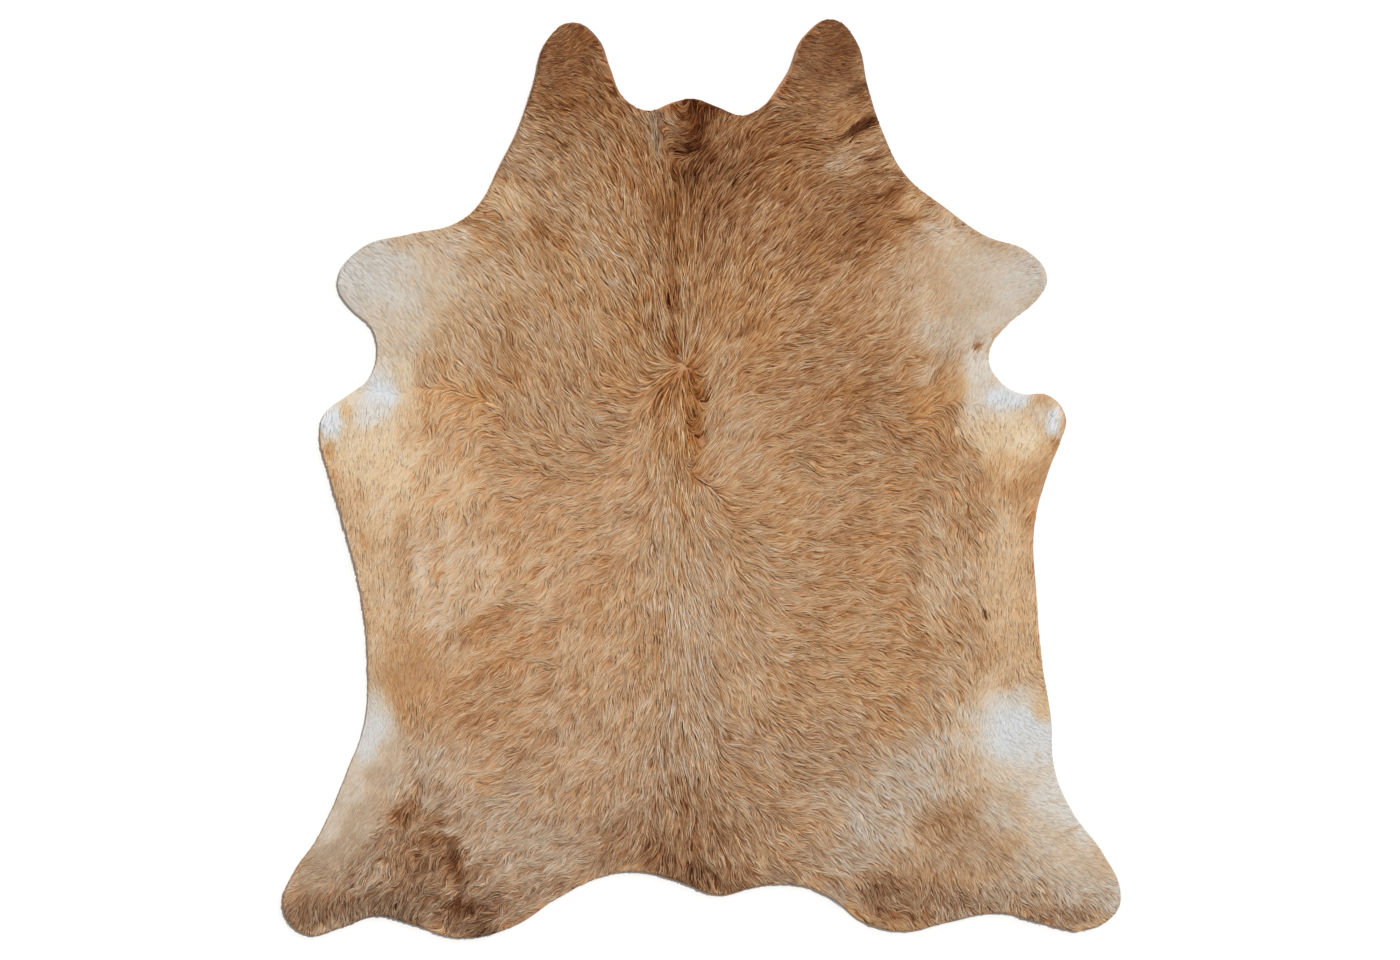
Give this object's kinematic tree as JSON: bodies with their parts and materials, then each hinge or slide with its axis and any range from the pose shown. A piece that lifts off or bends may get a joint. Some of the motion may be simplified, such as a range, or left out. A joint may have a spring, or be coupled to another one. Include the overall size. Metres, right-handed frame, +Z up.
{
  "type": "cowhide rug",
  "caption": "Whole cowhide rug lying flat, hair side up, cut in the hide's natural outline with neck flaps, legs and tail stump.",
  "frame": {"origin": "centre of the hide's box, on the floor under the flesh side", "axes": "+Z up from the hair side, +Y towards the neck end, +X to the right of the hide seen from above with the neck up"},
  "size_m": [2.012, 2.204, 0.0112],
  "materials": {
    "hide": "tanned skin, suede flesh side, matte",
    "coat": "short glossy hair lying flat, caramel and brown with pale patches"
  },
  "bodies": {
    "root": {"hide": "hide"}
  },
  "joints": []
}
